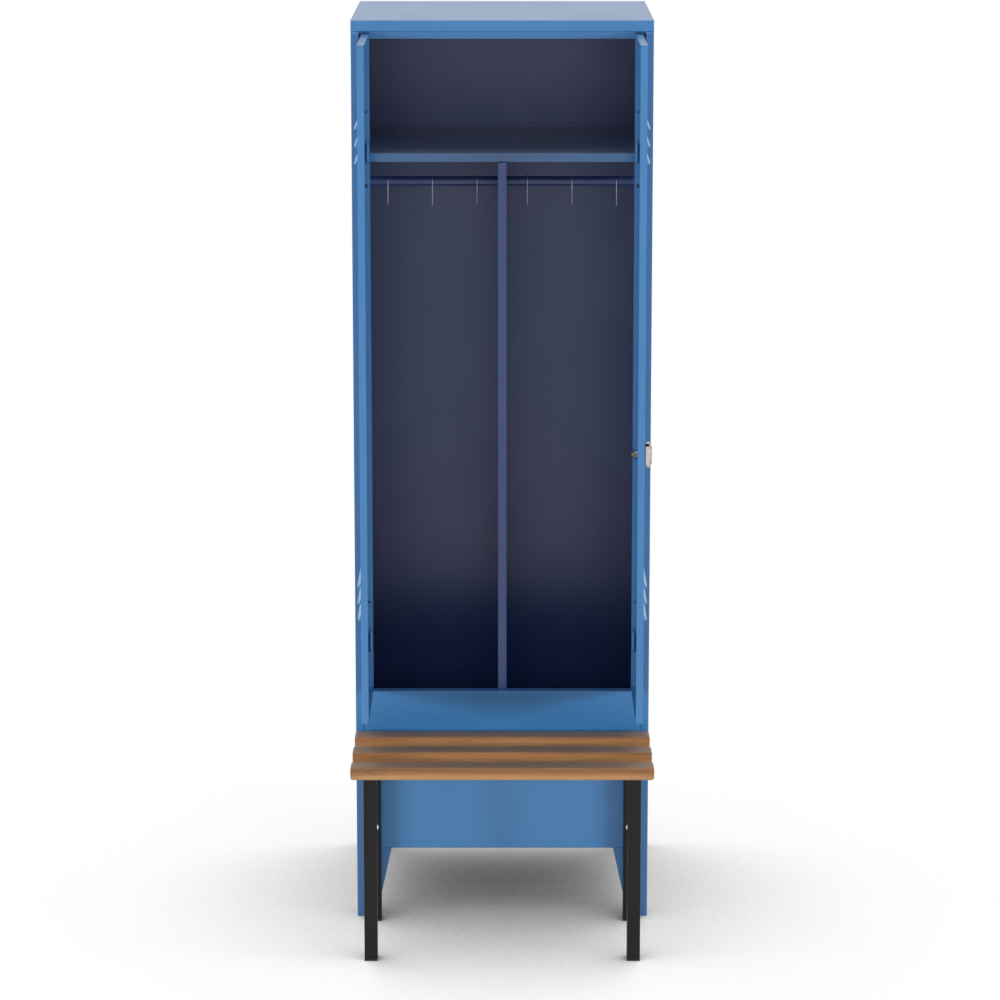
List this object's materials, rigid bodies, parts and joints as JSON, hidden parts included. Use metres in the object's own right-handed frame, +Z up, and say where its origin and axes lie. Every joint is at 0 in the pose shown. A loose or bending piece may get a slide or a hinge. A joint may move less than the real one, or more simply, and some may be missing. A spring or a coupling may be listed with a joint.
{
  "type": "changing-room locker with bench",
  "caption": "Steel wardrobe locker with louvred hinged doors, hat shelf, partition, coat rails with sliding hooks, turn latch for a padlock and a slatted wooden bench on a tube frame.",
  "frame": {"origin": "centre of the footprint of cabinet and bench together, on the floor", "axes": "+Z up, +X to the right of someone facing the doors, +Y back towards the wall, so the doors and the bench face -Y"},
  "size_m": [0.6, 0.8, 1.85],
  "materials": {
    "blue_enamel": "satin",
    "black_enamel": "satin",
    "oiled_wood": "satin",
    "zinc_steel": "satin",
    "nickel": "satin",
    "black_plastic": "matte"
  },
  "bodies": {
    "cabinet": {"side_panel_left": "blue_enamel", "side_panel_right": "blue_enamel", "back_panel": "blue_enamel", "roof_panel": "blue_enamel", "lower_front_panel": "blue_enamel", "floor_panel": "blue_enamel", "hat_shelf": "blue_enamel", "partition_sheet": "blue_enamel", "partition_bar": "blue_enamel", "coat_rail_left": "blue_enamel", "coat_rail_right": "blue_enamel", "rail_socket_left_inner": "blue_enamel", "rail_socket_left_outer": "blue_enamel", "rail_socket_right_inner": "blue_enamel", "rail_socket_right_outer": "blue_enamel", "foot_front_left": "blue_enamel", "foot_front_right": "blue_enamel", "foot_rear_left": "blue_enamel", "foot_rear_right": "blue_enamel", "hinge_lug_left_upper": "blue_enamel", "hinge_lug_left_lower": "blue_enamel", "hinge_lug_right_upper": "blue_enamel", "hinge_lug_right_lower": "blue_enamel", "bench_bolt_left": "zinc_steel", "bench_bolt_right": "zinc_steel", "bench_nut_left": "zinc_steel", "bench_nut_right": "zinc_steel", "bench_frame_left": "black_enamel", "bench_frame_right": "black_enamel", "bench_glide_front_left": "black_plastic", "bench_glide_front_right": "black_plastic", "bench_glide_rear_left": "black_plastic", "bench_glide_rear_right": "black_plastic", "bench_slat_1": "oiled_wood", "bench_slat_2": "oiled_wood", "bench_slat_3": "oiled_wood"},
    "door_left": {"door_leaf_left": "blue_enamel", "hinge_knuckle_left_upper": "blue_enamel", "hinge_knuckle_left_lower": "blue_enamel", "hinge_pin_left_upper": "blue_enamel", "hinge_pin_left_lower": "blue_enamel"},
    "door_right": {"door_leaf_right": "blue_enamel", "hinge_knuckle_right_upper": "blue_enamel", "hinge_knuckle_right_lower": "blue_enamel", "hinge_pin_right_upper": "blue_enamel", "hinge_pin_right_lower": "blue_enamel", "latch_housing": "nickel", "latch_ring_nut": "zinc_steel"},
    "latch": {"latch_knob": "nickel", "latch_cam": "zinc_steel", "latch_cam_nut": "zinc_steel"},
    "hook_1": {"coat_hook_1": "zinc_steel"},
    "hook_2": {"coat_hook_2": "zinc_steel"},
    "hook_3": {"coat_hook_3": "zinc_steel"},
    "hook_4": {"coat_hook_4": "zinc_steel"},
    "hook_5": {"coat_hook_5": "zinc_steel"},
    "hook_6": {"coat_hook_6": "zinc_steel"}
  },
  "joints": [
    {"name": "door_left_swing", "type": "hinge", "parent": "cabinet", "child": "door_left", "pos_m": [-0.2685, -0.0905, 1.587], "axis": [0, 0, -1], "range_deg": [-90, 20]},
    {"name": "door_right_swing", "type": "hinge", "parent": "cabinet", "child": "door_right", "pos_m": [0.2685, -0.0905, 1.587], "axis": [0, 0, 1], "range_deg": [-90, 20]},
    {"name": "latch_turn", "type": "hinge", "parent": "door_right", "child": "latch", "pos_m": [0.2834, -0.3295, 1.0215], "axis": [-1, 0, 0], "range_deg": [0, 180]},
    {"name": "hook_1_slide", "type": "slide", "parent": "cabinet", "child": "hook_1", "axis": [1, 0, 0], "range_m": [-0.04, 0.04]},
    {"name": "hook_2_slide", "type": "slide", "parent": "cabinet", "child": "hook_2", "axis": [1, 0, 0], "range_m": [-0.04, 0.04]},
    {"name": "hook_3_slide", "type": "slide", "parent": "cabinet", "child": "hook_3", "axis": [1, 0, 0], "range_m": [-0.04, 0.04]},
    {"name": "hook_4_slide", "type": "slide", "parent": "cabinet", "child": "hook_4", "axis": [1, 0, 0], "range_m": [-0.04, 0.04]},
    {"name": "hook_5_slide", "type": "slide", "parent": "cabinet", "child": "hook_5", "axis": [1, 0, 0], "range_m": [-0.04, 0.04]},
    {"name": "hook_6_slide", "type": "slide", "parent": "cabinet", "child": "hook_6", "axis": [1, 0, 0], "range_m": [-0.04, 0.04]}
  ]
}
